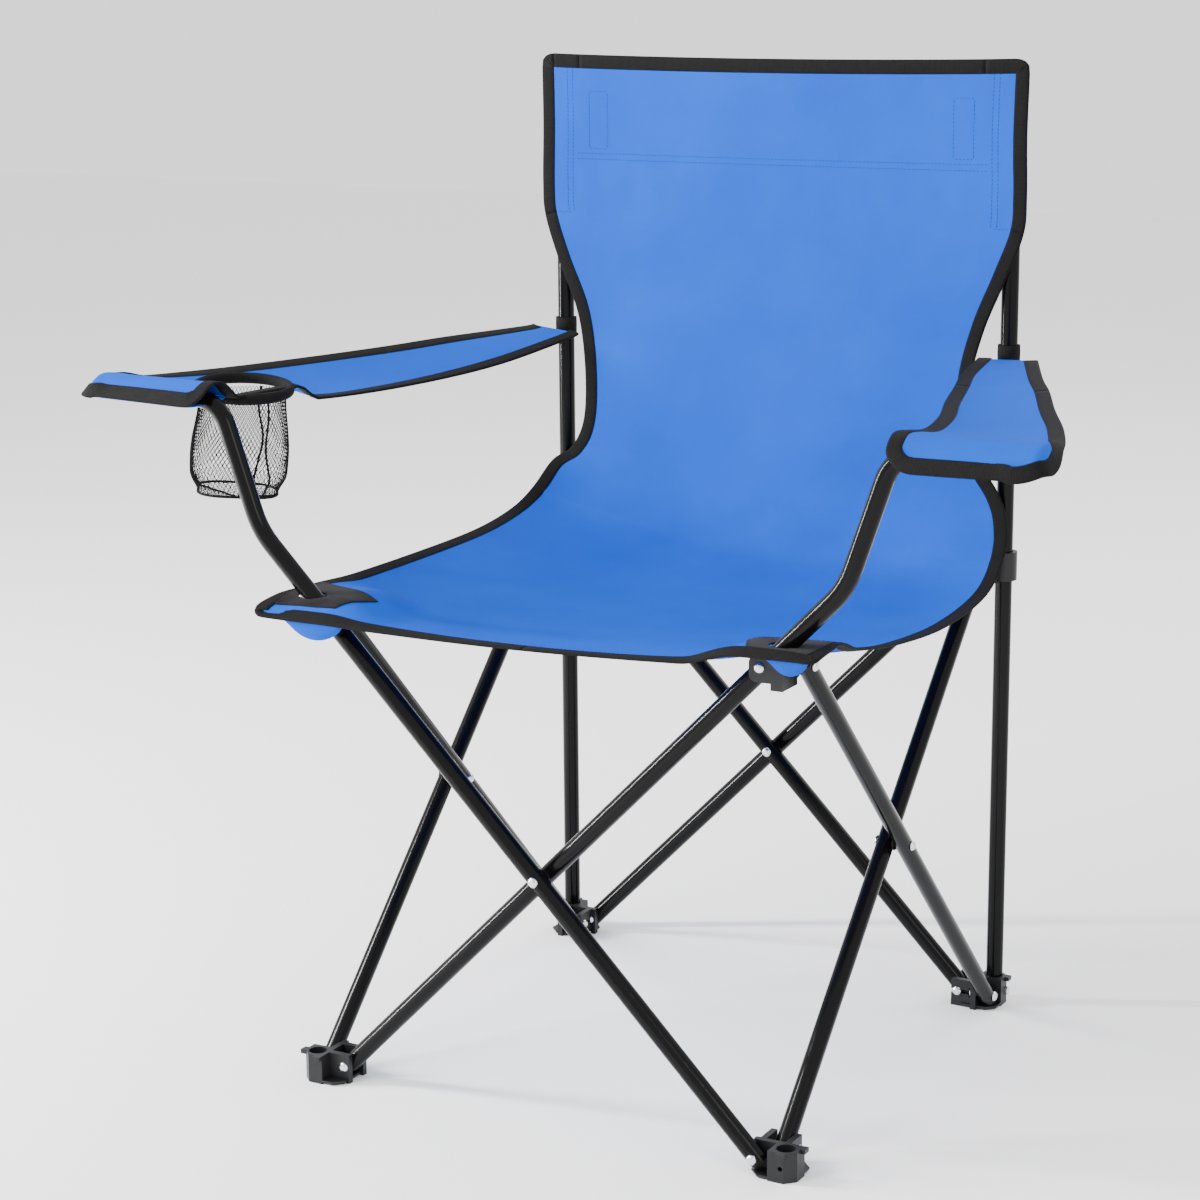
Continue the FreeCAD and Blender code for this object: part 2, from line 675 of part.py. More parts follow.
def sleeve_ring(label, placement, outer, hole, length):
    """Cloth wrapped round a tube along local Z."""
    body = new_body(label)
    ring = new_sketch(body, f"{label}_ring", "XY_Plane")
    circle(ring, outer)
    circle(ring, hole)
    pad(body, ring, f"{label}_cloth", length)
    keep(body, label, placement)


seat_leaf("seat_left", -1)
seat_leaf("seat_right", 1)
seat_patch("seat_patch_left", -1)
seat_patch("seat_patch_right", 1)
back_panel()
for side_name, side in (("left", -1), ("right", 1)):
    back_sleeve(f"back_sleeve_{side_name}", side)
    front = arm_plane_y[side] + size("arm_sleeve_d") / 2 + size("arm_gap")
    split = size("arm_split")
    panel = arm_panel(f"armrest_front_{side_name}", side, front, split - size("arm_gap") / 2)
    if side < 0:
        cylinder(panel, "cup_hole", "cup_ring_d / 2 + collar_play", "4 * cloth", "z",
                 ("cup_x", "cup_y", "0 - cloth"))
    arm_panel(f"armrest_rear_{side_name}", side, split + size("arm_gap") / 2, size("seat_rear"))
    sleeve_ring(f"arm_sleeve_{side_name}", arm_end_placement(side, size("arm_sleeve_long")),
                "arm_sleeve_d", "tube_d + 2 * collar_play", "arm_sleeve_long - arm_gap")
    sleeve_ring(f"arm_loop_{side_name}", upright_placement(side, size("arm_loop_low")),
                "arm_loop_d", "tube_d + 2 * collar_play", "arm_loop_tall")


# ---------------------------------------------------------------- cup holder
def turned_part(label, points, placement):
    """A closed half-section turned about Z."""
    body = new_body(label)
    section = new_sketch(body, f"{label}_section", "XZ_Plane")
    outline(section, points)
    turned(body, section)
    keep(body, label, placement)


cup_top = size("arm_high") + size("cloth") + size("cup_lift")
cup_place = Placement(Vector(size("cup_x"), size("cup_y"), cup_top - size("cup_ring_tall")), Rotation())
ring_out, ring_in, ring_tall = size("cup_ring_d") / 2, size("cup_ring_hole_d") / 2, size("cup_ring_tall")
bevel, slope = size("cup_bevel"), 2 * size("cup_bevel")
turned_part("cup_ring", [(ring_in, bevel), (ring_in + bevel, 0), (ring_out - bevel, 0),
                         (ring_out, bevel), (ring_out, ring_tall - bevel), (ring_out - slope, ring_tall),
                         (ring_in + slope, ring_tall), (ring_in, ring_tall - bevel)], cup_place)
net_top, net_foot, net = size("cup_top_d") / 2, size("cup_foot_d") / 2, size("cup_net")
net_deep, net_round, net_rim = size("cup_deep") - ring_tall, size("cup_round"), -size("collar_play")
turned_part("cup_net", [(0, -net_deep), (net_foot - net_round, -net_deep), (net_foot, net_round - net_deep),
                        (net_top, net_rim), (net_top - net, net_rim), (net_foot - net, net_round - net_deep),
                        (net_foot - net_round - net, net - net_deep), (0, net - net_deep)], cup_place)

# ---------------------------------------------------------------- checks and files
doc.recompute()
for item in doc.Objects:
    if "Invalid" in item.State or "Error" in item.State:
        raise SystemExit(f"{item.Name} failed: {item.State}")
for item in parts:
    if item.Shape.isNull() or not item.Shape.isValid():
        raise SystemExit(f"{item.Label} has no valid shape")
os.makedirs("parts", exist_ok=True)
for item in parts:
    item.Shape.exportStep(f"parts/{item.Label}.step")
    box = item.Shape.BoundBox
    low = f"{box.XMin:.1f} {box.YMin:.1f} {box.ZMin:.1f}"
    high = f"{box.XMax:.1f} {box.YMax:.1f} {box.ZMax:.1f}"
    print(f"{item.Label:26s} {len(item.Shape.Solids)} solids, from {low} to {high}")
print(len(parts), "parts")
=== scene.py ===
"""Looks of the folding camp chair: sling, armrests, cup holder, tubes, camera and light.

Metres, +Z up, the chair faces -Y. The cloth is a few surfaces given by stations from back to front; each is
cut into pieces that ride on the frame's bodies (the armrests' front halves are left unattached), and meets
its neighbours at rest.
"""
import math

import bpy
import numpy as np
from mathutils import Matrix, Vector


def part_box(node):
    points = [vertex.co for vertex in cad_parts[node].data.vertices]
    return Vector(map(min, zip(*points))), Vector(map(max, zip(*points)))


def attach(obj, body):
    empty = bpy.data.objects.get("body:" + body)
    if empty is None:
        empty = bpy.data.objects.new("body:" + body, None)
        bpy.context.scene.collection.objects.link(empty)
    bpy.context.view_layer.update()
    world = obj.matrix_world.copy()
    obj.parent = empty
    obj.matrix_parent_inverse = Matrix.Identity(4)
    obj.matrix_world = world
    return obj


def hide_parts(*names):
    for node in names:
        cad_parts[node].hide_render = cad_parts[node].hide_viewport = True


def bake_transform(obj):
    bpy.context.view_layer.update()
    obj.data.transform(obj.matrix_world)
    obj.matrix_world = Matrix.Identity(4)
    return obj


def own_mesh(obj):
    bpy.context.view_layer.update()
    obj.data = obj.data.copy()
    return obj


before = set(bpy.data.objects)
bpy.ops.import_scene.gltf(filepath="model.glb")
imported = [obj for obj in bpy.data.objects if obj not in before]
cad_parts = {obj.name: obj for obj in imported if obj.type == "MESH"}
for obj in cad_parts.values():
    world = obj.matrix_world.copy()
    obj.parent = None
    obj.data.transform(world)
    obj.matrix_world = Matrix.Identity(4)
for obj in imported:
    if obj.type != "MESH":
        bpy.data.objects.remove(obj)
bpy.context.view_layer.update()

MM = 0.001

# ---------------------------------------------------------------- materials


def new_material(name):
    material = bpy.data.materials.new(name)
    material.use_nodes = True
    shader = material.node_tree.nodes["Principled BSDF"]
    return material, material.node_tree, shader


def add(tree, kind, **values):
    """A node with its sockets set by name, spaces written as underscores."""
    node = tree.nodes.new(kind)
    for key, value in values.items():
        socket = node.inputs.get(key.replace("_", " "))
        if socket is None:
            setattr(node, key, value)
        else:
            socket.default_value = value
    return node


def link(tree, source, target):
    tree.links.new(source, target)


def coordinates(tree, kind="Object"):
    return add(tree, "ShaderNodeTexCoord").outputs[kind]


def noise(tree, where, scale, detail=4.0, roughness=0.55):
    node = add(tree, "ShaderNodeTexNoise", Scale=scale, Detail=detail, Roughness=roughness)
    link(tree, where, node.inputs["Vector"])
    return node.outputs["Fac"]


def bands(tree, where, direction, pitch):
    """Smooth ridges with a pitch in the coordinate's own units."""
    node = add(tree, "ShaderNodeTexWave", bands_direction=direction, Scale=math.pi / 10 / pitch)
    link(tree, where, node.inputs["Vector"])
    return node.outputs["Fac"]


def mixed(tree, fraction, first, second):
    """A colour between two, by a fraction."""
    node = add(tree, "ShaderNodeValToRGB")
    node.color_ramp.elements[0].color = (*first, 1)
    node.color_ramp.elements[1].color = (*second, 1)
    link(tree, fraction, node.inputs["Fac"])
    return node.outputs["Color"]


def span(tree, value, low, high):
    """Maps 0..1 to a range."""
    node = add(tree, "ShaderNodeMapRange", To_Min=low, To_Max=high)
    link(tree, value, node.inputs["Value"])
    return node.outputs["Result"]


def combine(tree, operation, first, second):
    node = add(tree, "ShaderNodeMath", operation=operation)
    link(tree, first, node.inputs[0])
    if isinstance(second, float):
        node.inputs[1].default_value = second
    else:
        link(tree, second, node.inputs[1])
    return node.outputs["Value"]


def bump(tree, shader, height, strength, distance):
    node = add(tree, "ShaderNodeBump", Strength=strength, Distance=distance)
    link(tree, height, node.inputs["Height"])
    link(tree, node.outputs["Normal"], shader.inputs["Normal"])


def cloth_material(name, dark, light, thread=0.0009, sheen=0.05, roughness=0.8, depth=0.00025):
    """Plain weave from two crossed sets of ridges, with cloudy painted shade and sheen: broad darker and
    lighter patches laid into the colour.
    """
    material, tree, shader = new_material(name)
    flat = coordinates(tree, "UV")
    warp, weft = bands(tree, flat, "X", thread), bands(tree, flat, "Y", thread)
    weave = combine(tree, "MULTIPLY", warp, weft)
    # cloud: painted shade and sheen, soft darker and lighter patches over the cloth's own colour
    cloud = noise(tree, coordinates(tree), 9.0, 5.0, 0.6)
    slub = noise(tree, flat, 260.0, 2.0)
    tone = combine(tree, "ADD", combine(tree, "MULTIPLY", cloud, 0.72),
                   combine(tree, "ADD", combine(tree, "MULTIPLY", weave, 0.16),
                           combine(tree, "MULTIPLY", slub, 0.12)))
    link(tree, mixed(tree, tone, dark, light), shader.inputs["Base Color"])
    link(tree, span(tree, slub, roughness - 0.06, roughness + 0.06), shader.inputs["Roughness"])
    shader.inputs["Sheen Weight"].default_value = sheen
    shader.inputs["Sheen Roughness"].default_value = 0.45
    shader.inputs["Specular IOR Level"].default_value = 0.06
    creases = combine(tree, "MULTIPLY", noise(tree, coordinates(tree), 38.0, 3.0), 2.2)
    bump(tree, shader, combine(tree, "ADD", weave, creases), 0.55, depth)
    return material


def tape_material(name, dark, light):
    """Ribbed tape: ridges across it, by a map that runs along it."""
    material, tree, shader = new_material(name)
    flat = coordinates(tree, "UV")
    ribs = bands(tree, flat, "X", 0.0011)
    grain = noise(tree, flat, 420.0, 3.0)
    fluff = noise(tree, coordinates(tree), 60.0, 4.0)
    tone = combine(tree, "ADD", combine(tree, "MULTIPLY", ribs, 0.35),
                   combine(tree, "MULTIPLY", combine(tree, "ADD", grain, fluff), 0.3))
    link(tree, mixed(tree, tone, dark, light), shader.inputs["Base Color"])
    link(tree, span(tree, grain, 0.74, 0.9), shader.inputs["Roughness"])
    shader.inputs["Sheen Weight"].default_value = 0.0
    shader.inputs["Specular IOR Level"].default_value = 0.12
    bump(tree, shader, combine(tree, "ADD", ribs, grain), 0.6, 0.0003)
    return material


def hard_material(name, dark, light, roughness, grain, depth, metallic=0.0, specular=0.5):
    """Paint, moulded plastic or plated steel: a fine skin and uneven gloss."""
    material, tree, shader = new_material(name)
    where = coordinates(tree)
    cloud, skin = noise(tree, where, 14.0, 5.0), noise(tree, where, grain, 3.0)
    link(tree, mixed(tree, cloud, dark, light), shader.inputs["Base Color"])
    uneven = combine(tree, "MULTIPLY", combine(tree, "ADD", cloud, skin), 0.5)
    link(tree, span(tree, uneven, roughness[0], roughness[1]), shader.inputs["Roughness"])
    shader.inputs["Metallic"].default_value = metallic
    shader.inputs["Specular IOR Level"].default_value = specular
    bump(tree, shader, skin, 0.35, depth)
    return material


BLUE = cloth_material("blue_polyester", (0.0005, 0.044, 0.36), (0.001, 0.088, 0.56), sheen=0.0)
PATCH = cloth_material("black_patch_cloth", (0.004, 0.0035, 0.004), (0.016, 0.014, 0.016), 0.0012, 0.05, 0.85)
TAPE = tape_material("black_tape", (0.002, 0.0017, 0.0017), (0.008, 0.007, 0.007))
NET = tape_material("net_yarn", (0.003, 0.003, 0.0035), (0.012, 0.012, 0.013))
BLUE_THREAD = tape_material("blue_thread", (0.001, 0.02, 0.13), (0.002, 0.035, 0.2))
BLACK_THREAD = tape_material("black_thread", (0.006, 0.006, 0.006), (0.02, 0.019, 0.019))
PAINT = hard_material("black_tube_paint", (0.002, 0.002, 0.002), (0.004, 0.004, 0.004),
                      (0.12, 0.2), 900.0, 0.00003, specular=0.12)
PLASTIC = hard_material("moulded_black_plastic", (0.006, 0.006, 0.007), (0.012, 0.012, 0.013),
                        (0.36, 0.52), 1400.0, 0.00008, specular=0.25)
NICKEL = hard_material("nickel_plate", (0.58, 0.58, 0.60), (0.82, 0.81, 0.80),
                       (0.16, 0.34), 700.0, 0.00003, metallic=1.0)


def finish_for(node):
    if "rivet" in node or "screw" in node:
        return NICKEL
    if node.startswith(("front_tube", "side_tube", "rear_tube")) or node in ("upright_left", "upright_right"):
        return PAINT
    return PLASTIC


for name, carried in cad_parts.items():
    carried.data.materials.clear()
    carried.data.materials.append(finish_for(name))

# ---------------------------------------------------------------- mesh helpers


def mesh_object(name, points, faces, material, flat=None):
    """A mesh from points and faces; flat gives every point its place on the cloth, in metres."""
    mesh = bpy.data.meshes.new(name)
    mesh.from_pydata([tuple(p) for p in points], [], [tuple(f) for f in faces])
    mesh.polygons.foreach_set("use_smooth", [True] * len(mesh.polygons))
    mesh.materials.append(material)
    if flat is not None:
        layer = mesh.uv_layers.new(name="flat")
        corners = np.zeros(len(mesh.loops), int)
        mesh.loops.foreach_get("vertex_index", corners)
        layer.data.foreach_set("uv", np.asarray(flat, float)[corners].ravel())
    mesh.update()
    thing = bpy.data.objects.new(name, mesh)
    bpy.context.scene.collection.objects.link(thing)
    return thing


def through(knots, places):
    """Smooth values through knots, evenly spaced in the parameter, at fractional places."""
    knots, places = np.asarray(knots, float), np.asarray(places, float)
    last = len(knots) - 1
    index = np.clip(places.astype(int), 0, last - 1)
    t = (places - index)[:, None]
    before, after = knots[np.maximum(index - 1, 0)], knots[np.minimum(index + 2, last)]
    start, end = knots[index], knots[index + 1]
    leave, arrive = (end - before) / 2, (after - start) / 2
    return ((2 * t**3 - 3 * t**2 + 1) * start + (t**3 - 2 * t**2 + t) * leave
            + (3 * t**2 - 2 * t**3) * end + (t**3 - t**2) * arrive)


def unit(vectors):
    return vectors / np.maximum(np.linalg.norm(vectors, axis=-1, keepdims=True), 1e-12)


def grid_normals(grid):
    down, across = np.gradient(grid, axis=0), np.gradient(grid, axis=1)
    return unit(np.cross(down, across))


def lengths(points):
    """Distance along a polyline, from 0 at its first point."""
    return np.concatenate([[0], np.cumsum(np.linalg.norm(np.diff(points, axis=0), axis=1))])


def flat_map(grid):
    """Each grid point's place on the uncut cloth, measured across and down the middle."""
    middle = grid.shape[1] // 2
    down = lengths(grid[:, middle])
    across = np.stack([lengths(row) for row in grid])
    across -= across[:, [middle]]
    return np.dstack([across, np.repeat(down[:, None], grid.shape[1], axis=1)])


def thicken(points, faces, normals, thick, flat):
    """Closes an open sheet into a thin solid; faces is a list of index rows."""
    count = len(points)
    both = np.vstack([points + normals * thick / 2, points - normals * thick / 2])
    edges = {}
    for face in faces:
        for a, b in zip(face, np.roll(face, -1)):
            edges[(int(a), int(b))] = edges.get((int(a), int(b)), 0) + 1
    rim = [(a, b) for a, b in edges if (b, a) not in edges]
    solid = [list(face) for face in faces] + [[v + count for v in face[::-1]] for face in faces]
    solid += [[b, a, a + count, b + count] for a, b in rim]
    return both, solid, np.vstack([flat, flat])


def sheet_piece(name, grid, chosen, material, thick=1.0 * MM, lift=0.0, moved=None):
    """Cuts the chosen quads out of a grid of points as a thin closed sheet."""
    rows, columns = grid.shape[:2]
    normals, flat = grid_normals(grid), flat_map(grid)
    index = np.arange(rows * columns).reshape(rows, columns)
    faces = [(index[i, j], index[i + 1, j], index[i + 1, j + 1], index[i, j + 1])
             for i in range(rows - 1) for j in range(columns - 1) if chosen(i, j)]
    used = np.unique(np.array(faces))
    order = {int(old): new for new, old in enumerate(used)}
    faces = [[order[int(v)] for v in face] for face in faces]
    points = (grid if moved is None else moved).reshape(-1, 3)[used]
    facing = normals.reshape(-1, 3)[used]
    solid = thicken(points + facing * lift, faces, facing, thick, flat.reshape(-1, 2)[used])
    piece = mesh_object(name, solid[0], solid[1], material, solid[2])
    piece.data.set_sharp_from_angle(angle=math.radians(55))
    return piece


def sweep(points, sides, ups, section, closed_ends=True, start=0.0):
    """Moves a section, pairs of side and up distances, along a polyline."""
    count, rim = len(points), len(section)
    section = np.asarray(section, float)
    rings = (points[:, None] + sides[:, None] * section[None, :, :1] + ups[:, None] * section[None, :, 1:])
    along = lengths(points) + start
    around = np.linspace(0, 0.024, rim)
    flat = np.stack(np.broadcast_arrays(along[:, None], around[None, :]), axis=-1).reshape(-1, 2)
    faces = [(i * rim + k, i * rim + (k + 1) % rim, (i + 1) * rim + (k + 1) % rim, (i + 1) * rim + k)
             for i in range(count - 1) for k in range(rim)]
    if closed_ends:
        faces += [tuple(range(rim))[::-1], tuple((count - 1) * rim + k for k in range(rim))]
    return rings.reshape(-1, 3), faces, flat


def joined(name, meshes, material):
    """One object from several (points, faces, flat) lists."""
    points, faces, flat, shift = [], [], [], 0
    for part_points, part_faces, part_flat in meshes:
        points.append(part_points)
        flat.append(part_flat)
        faces += [[v + shift for v in face] for face in part_faces]
        shift += len(part_points)
    return mesh_object(name, np.vstack(points), faces, material, np.vstack(flat))


TAPE_WIDE, TAPE_THICK = 10.5 * MM, 2.6 * MM


def tape_section():
    """Folded tape over an edge: round outside, thinner at the sewn side."""
    half, wide = TAPE_THICK / 2, TAPE_WIDE
    upper = [(-1.6 * MM, 0.0), (-1.1 * MM, 0.75 * half), (0.4 * MM, half), (wide - 2.2 * MM, 0.9 * half),
             (wide - 0.7 * MM, 0.7 * half), (wide, 0.35 * half)]
    return upper + [(a, -b) for a, b in upper[:0:-1]]


def smoothed(values, times):
    for _ in range(times):
        inner = (values[:-2] + 2 * values[1:-1] + values[2:]) / 4
        values = np.vstack([values[:1], inner, values[-1:]])
    return values


def edge_frame(points, normals, flip=1.0):
    """Unit directions into the cloth and off its face along an edge."""
    tangents = unit(np.gradient(points, axis=0))
    ups = unit(smoothed(normals - (normals * tangents).sum(1)[:, None] * tangents, 2))
    return flip * unit(np.cross(ups, tangents)), ups


def stitch_row(points, ups, long, pitch, wide=0.45 * MM):
    """Thread that shows as short raised beads along a line."""
    along = lengths(points)
    starts = np.arange(0.4 * pitch, along[-1] - long, pitch)
    beads, faces = [], []
    for start in starts:
        ends = [np.array([np.interp(start + d, along, points[:, k]) for k in range(3)]) for d in (0, long)]
        up = unit(np.array([np.interp(start, along, ups[:, k]) for k in range(3)]))
        ahead = unit(ends[1] - ends[0])
        aside = np.cross(up, ahead) * wide / 2
        middle = (ends[0] + ends[1]) / 2
        first = len(beads)
        beads += [ends[0], ends[1], middle + aside, middle - aside, middle + up * wide * 0.6,
                  middle - up * wide * 0.4]
        for a, b, c in ((0, 2, 4), (0, 4, 3), (0, 3, 5), (0, 5, 2),
                        (1, 4, 2), (1, 3, 4), (1, 5, 3), (1, 2, 5)):
            faces.append([first + a, first + b, first + c])
    return [(np.array(beads), faces, np.array(beads)[:, :2])] if beads else []


def cut_hole(grid, centre, half_x, half_y, reach):
    """Spreads a grid away from an elliptical hole; returns moved points and the quads inside."""
    offset = (grid[:, :, :2] - np.array(centre)) / np.array([half_x, half_y])
    distance = np.linalg.norm(offset, axis=2)
    near = distance < reach
    pushed = 1 + np.maximum(distance - 0.62, 0) * (reach - 1) / (reach - 0.62)
    factor = np.where(near, pushed / np.maximum(distance, 1e-6), 1.0)
    moved = grid.copy()
    moved[:, :, :2] = np.array(centre) + offset * factor[:, :, None] * np.array([half_x, half_y])
    middles = (distance[:-1, :-1] + distance[1:, :-1] + distance[:-1, 1:] + distance[1:, 1:]) / 4
    return moved, middles < 0.72


# ---------------------------------------------------------------- the sling
# Left edge (x, y, z), middle (y, z) and right edge (x, y, z) in millimetres, from the top of the
# back down to the seat's front edge.
SLING = [
    (-226, 211, 803, 211.0, 801, 224, 211, 804),
    (-225, 210, 744, 212.0, 743, 223, 210, 745),
    (-226, 210, 694, 213.0, 694, 224, 210, 695),
    (-224, 210, 664, 213.5, 664, 222, 210, 665),
    (-210, 209, 624, 214.0, 625, 208, 209, 628),
    (-191, 207, 580, 213.0, 581, 190, 207, 584),
    (-183, 205, 532, 211.0, 533, 180, 205, 538),
    (-183, 203, 486, 207.0, 484, 185, 203, 488),
    (-194, 201, 459, 202.0, 447, 208, 204, 450),
    (-209, 190, 446, 191.0, 415, 219, 196, 428),
    (-212, 160, 427, 173.0, 392, 223, 180, 402),
    (-215, 126, 413, 142.0, 383, 223, 143, 378),
    (-213, 60, 406, 60.0, 376, 222, 60, 369),
    (-213, -40, 404, -40.0, 373, 222, -40, 376),
    (-217, -125, 403, -127.0, 373, 226, -125, 391),
    (-226, -198, 402, -190.0, 379, 233, -184, 401),
    (-236, -236, 397, -221.0, 388, 237, -216, 402),
]
SLEEVE_ROW, CREASE_ROW = 3, 10          # stations where the sleeves end and where the seat starts
ROWS_PER_STATION, COLUMNS = 8, 96
SLEEVE_SHARE = 0.86                     # sleeve stitching, as a share of the half width
SEAT_ON_HUB_Z = 404.0 * MM              # height of the seat over a front hub
SEAT_ON_HUB_X = 221 * MM                # how far out a hub holds the seat up


def ease(value, low, high):
    """0 below low, 1 above high, smooth between."""
    t = np.clip((value - low) / (high - low), 0, 1)
    return t * t * (3 - 2 * t)


def wrinkles(u, station):
    """Small folds: pulled lines from the seat's corners and soft ripples at the waist."""
    seat = ease(station, CREASE_ROW - 0.5, CREASE_ROW + 1.5)
    from_front = (len(SLING) - 1 - station) * 0.36
    spread = np.arctan2(1 - np.abs(u), from_front + 0.02)
    corner = np.exp(-((1 - np.abs(u)) ** 2 + from_front**2) * 3.0)
    pulled = np.sin(spread * 17 + 1.3 * np.sign(u)) * corner * 1.5 * ease(from_front, 0.0, 0.4)
    crease = (np.exp(-((station - 9.6) / 0.8) ** 2)
              * (np.sin(u * 9 + 1) + 0.6 * np.sin(u * 17 + station * 2)) * 0.9)
    hang = (1 - seat) * np.sin(u * 6.5 + station * 0.9) * ease(station, 3.1, 5.5) * 1.1
    hem = np.exp(-((station - 2.1) / 0.25) ** 2) * np.sin(u * 44) * 0.25
    return (seat * pulled + crease + hang + hem) * MM


def sling_grid():
    """Points of the whole sling, a row for each step down and a column for each step across."""
    last = len(SLING) - 1
    station = np.linspace(0, last, last * ROWS_PER_STATION + 1)
    corner = 0.2 * (1 - np.cos(np.linspace(0, math.pi / 2, 5)[1:-1]))
    station = np.sort(np.concatenate([station, corner, last - corner * 1.1]))
    values = through(SLING, station) * MM
    left, right = values[:, None, 0:3], values[:, None, 5:8]
    u = np.linspace(-1, 1, COLUMNS + 1)
    width = (right + left) / 2 + (right - left) / 2 * u[None, :, None]
    sag = (1 - u**2) ** np.where(station > CREASE_ROW, 0.9, 1.0)[:, None]
    grid = width.copy()
    for axis, column in ((1, 3), (2, 4)):
        edge_middle = (values[:, None, axis] + values[:, None, 5 + axis]) / 2
        grid[:, :, axis] += (values[:, None, column] - edge_middle) * sag
    # round the four outer corners
    for corner_at, radius in ((0, 11 * MM), (last, 9 * MM)):
        along = np.abs(station - corner_at) * (28 * MM if corner_at else 57 * MM)
        inset = radius - np.sqrt(np.maximum(radius**2 - np.maximum(radius - along, 0) ** 2, 0))
        grid[:, :, 0] -= inset[:, None] * u[None, :] * np.abs(u[None, :]) ** 6
    corner_share = 0.2 + 0.8 * u[None, :] ** 4
    grid[:, :, 2] -= 5 * MM * corner_share * np.clip((station - last + 0.35) / 0.35, 0, 1)[:, None] ** 1.5
    normals = grid_normals(grid)
    grid += normals * wrinkles(u[None, :], station[:, None])[:, :, None]
    rest_on_hubs(grid)
    return station, u, grid


def rest_on_hubs(grid):
    """Lifts the seat over the front hubs."""
    for name in ("hub_front_left", "hub_front_right"):
        low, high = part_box(name)
        outer = SEAT_ON_HUB_X * (1 if low[0] > 0 else -1)
        x_low, x_high = sorted((outer, low[0] if low[0] > 0 else high[0]))
        dx = np.maximum(np.maximum(x_low - grid[:, :, 0], grid[:, :, 0] - x_high), 0)
        dy = np.maximum(np.maximum(low[1] - 4 * MM - grid[:, :, 1], grid[:, :, 1] - high[1]), 0)
        away = np.hypot(dx, dy * np.where(grid[:, :, 1] < low[1], 1.5, 1.0))
        support = 1 - ease(away, 0, 52 * MM)
        wanted = SEAT_ON_HUB_Z
        near = (grid[:, :, 2] < wanted) & (np.abs(grid[:, :, 2] - wanted) < 60 * MM)
        grid[:, :, 2] += np.where(near, (wanted - grid[:, :, 2]) * support, 0)


station, across, sling = sling_grid()
rows, columns = sling.shape[:2]
quad_station = (station[:-1] + station[1:]) / 2
quad_across = (across[:-1] + across[1:]) / 2


def part_of(row_station, u):
    if row_station < SLEEVE_ROW and abs(u) > SLEEVE_SHARE:
        return "sleeve_left" if u < 0 else "sleeve_right"
    if row_station < CREASE_ROW:
        return "back"
    return "seat_left" if u < 0 else "seat_right"


moved, in_hole = sling.copy(), np.zeros((rows - 1, columns - 1), bool)
tube_holes = {}
for side, tube in ((-1, "front_tube_left_arm"), (1, "front_tube_right_arm")):
    low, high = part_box(tube)
    tube_y = (low[1] + high[1]) / 2
    tube_holes[side] = (side * 200.0 * MM, tube_y)
    moved, inside = cut_hole(moved, tube_holes[side], 12.0 * MM, 8.6 * MM, 2.6)
    in_hole |= inside & (quad_station[:, None] > CREASE_ROW)
moved[station < CREASE_ROW] = sling[station < CREASE_ROW]

sling_pieces = {}
for part in ("back", "sleeve_left", "sleeve_right", "seat_left", "seat_right"):
    sling_pieces[part] = sheet_piece(
        f"{part}_cloth", sling,
        lambda i, j: part_of(quad_station[i], quad_across[j]) == part and not in_hole[i, j],
        BLUE, moved=moved)

# Tape all round, cut where the pieces part.
loop = ([(0, j) for j in range(columns)] + [(i, columns - 1) for i in range(1, rows)]
        + [(rows - 1, j) for j in range(columns - 2, -1, -1)] + [(i, 0) for i in range(rows - 2, 0, -1)])
loop.append(loop[0])
loop_points = np.array([sling[i, j] for i, j in loop])
normals = grid_normals(sling)
loop_normals = smoothed(np.array([normals[i, j] for i, j in loop]), 3)
inward, off_face = edge_frame(loop_points, loop_normals, -1.0)
loop_part = []
for (i, j), (k, m) in zip(loop[:-1], loop[1:]):
    loop_part.append(part_of((station[i] + station[k]) / 2, (across[j] + across[m]) / 2 * 0.999))
tape_meshes = {part: [] for part in sling_pieces}
thread_meshes = {part: [] for part in sling_pieces}
start = 0
for index in range(1, len(loop_part) + 1):
    if index == len(loop_part) or loop_part[index] != loop_part[start]:
        run = slice(start, index + 1)
        part = loop_part[start]
        tape_meshes[part].append(sweep(loop_points[run], inward[run], off_face[run], tape_section(),
                                       start=0.01 * start))
        for face in (1, -1):
            line = loop_points[run] + inward[run] * (TAPE_WIDE - 2.4 * MM) + off_face[run] * face * 1.2 * MM
            if len(line) > 2:
                thread_meshes[part] += stitch_row(line, off_face[run] * face, 2.4 * MM, 3.6 * MM)
        start = index
tapes = {part: joined(f"{part}_tape", meshes, TAPE) for part, meshes in tape_meshes.items()}
threads = {part: joined(f"{part}_tape_stitches", meshes, BLACK_THREAD)
           for part, meshes in thread_meshes.items() if meshes}


def on_grid(grid, rows_at, columns_at, lift):
    """Points at fractional rows and columns of a grid, lifted off its face, with the facing."""
    normals = grid_normals(grid)

    def sample(values):
        i, j = np.clip(rows_at, 0, rows - 1.001), np.clip(columns_at, 0, columns - 1.001)
        i0, j0 = i.astype(int), j.astype(int)
        a, b = (i - i0)[..., None], (j - j0)[..., None]
        return ((1 - a) * (1 - b) * values[i0, j0] + a * (1 - b) * values[i0 + 1, j0]
                + (1 - a) * b * values[i0, j0 + 1] + a * b * values[i0 + 1, j0 + 1])

    facing = unit(sample(normals))
    return sample(grid) + facing * lift, facing


def row_of(place):
    return np.interp(place, station, np.arange(rows))


def column_of(u):
    return np.interp(u, across, np.arange(columns))


def seam(part, places, us, long=2.6 * MM, pitch=3.4 * MM, lift=0.55 * MM):
    """A line of blue stitches on the sling, through stations and shares across."""
    line, facing = on_grid(sling, row_of(np.asarray(places)), column_of(np.asarray(us)), lift)
    seam_meshes[part] += stitch_row(line, facing, long, pitch)


